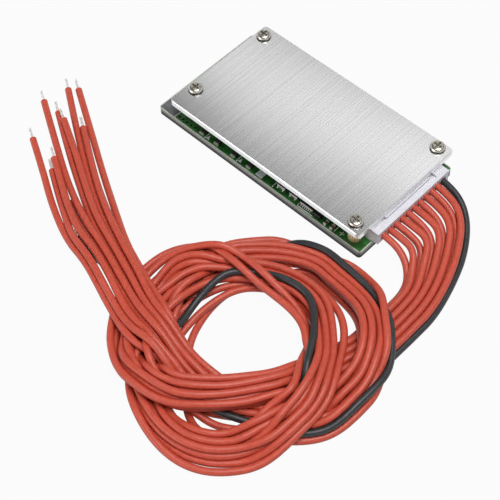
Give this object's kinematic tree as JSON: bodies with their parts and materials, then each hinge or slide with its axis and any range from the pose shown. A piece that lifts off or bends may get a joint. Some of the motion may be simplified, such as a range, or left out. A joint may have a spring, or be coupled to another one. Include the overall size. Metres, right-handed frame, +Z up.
{
  "type": "battery management board",
  "caption": "Flat circuit board under a screwed-on aluminium heat spreader, with a white wire connector at one end and a loose coil of sense leads; it balances and protects a battery pack.",
  "frame": {"origin": "centre of the bottom of the board's own box, on the face that lies on a surface; the leads don't count", "axes": "+X along the board towards the wire connector, +Y across it towards the back long edge, +Z up"},
  "size_m": [0.1434, 0.1173, 0.011],
  "materials": {
    "black_sheet": "matt fibre sheet",
    "green_board": "solder mask",
    "brushed_plate": "brushed",
    "brass": "turned",
    "nickel": "nickel plate",
    "white_nylon": "moulded",
    "tin": "tinned",
    "grey_pad": "soft silicone",
    "black_mould": "moulded",
    "chip_ceramic": "glazed",
    "tan_ceramic": "ceramic",
    "red_insulation": "satin",
    "black_insulation": "satin"
  },
  "bodies": {
    "root": {"insulation_sheet": "black_sheet", "circuit_board": "green_board", "heat_spreader": "brushed_plate", "spacers": "brass", "plate_screws": "nickel", "connector_header": "white_nylon", "header_pins": "tin", "plug_housing": "white_nylon", "crimp_terminals": "tin", "thermal_pad": "grey_pad", "monitor_chip": "black_mould", "driver_chip": "black_mould", "tinned_pads": "tin", "stripped_ends": "tin", "lead_coil": "red_insulation", "mosfet_1": "black_mould", "mosfet_2": "black_mould", "mosfet_3": "black_mould", "mosfet_4": "black_mould", "mosfet_5": "black_mould", "mosfet_6": "black_mould", "balance_resistor_01": "chip_ceramic", "balance_resistor_02": "chip_ceramic", "balance_resistor_03": "chip_ceramic", "balance_resistor_04": "chip_ceramic", "balance_resistor_05": "chip_ceramic", "balance_resistor_06": "chip_ceramic", "balance_resistor_07": "chip_ceramic", "balance_resistor_08": "chip_ceramic", "balance_resistor_09": "chip_ceramic", "balance_resistor_10": "chip_ceramic", "sense_resistor_1": "chip_ceramic", "transistor_1": "black_mould", "chip_capacitor_1": "tan_ceramic", "sense_resistor_2": "chip_ceramic", "transistor_2": "black_mould", "chip_capacitor_2": "tan_ceramic", "lead_01_exit": "red_insulation", "lead_02_exit": "red_insulation", "lead_03_exit": "red_insulation", "lead_04_exit": "red_insulation", "lead_05_exit": "red_insulation", "lead_06_exit": "red_insulation", "lead_07_exit": "red_insulation", "lead_08_exit": "red_insulation", "lead_09_exit": "red_insulation", "lead_10_exit": "red_insulation", "lead_11_exit": "black_insulation", "lead_01_tail": "red_insulation", "lead_02_tail": "red_insulation", "lead_03_tail": "red_insulation", "lead_04_tail": "red_insulation", "lead_05_tail": "red_insulation", "lead_06_tail": "red_insulation", "lead_07_tail": "red_insulation", "lead_08_tail": "red_insulation", "lead_09_tail": "red_insulation", "lead_10_tail": "red_insulation", "lead_11_tail": "black_insulation"}
  },
  "joints": []
}
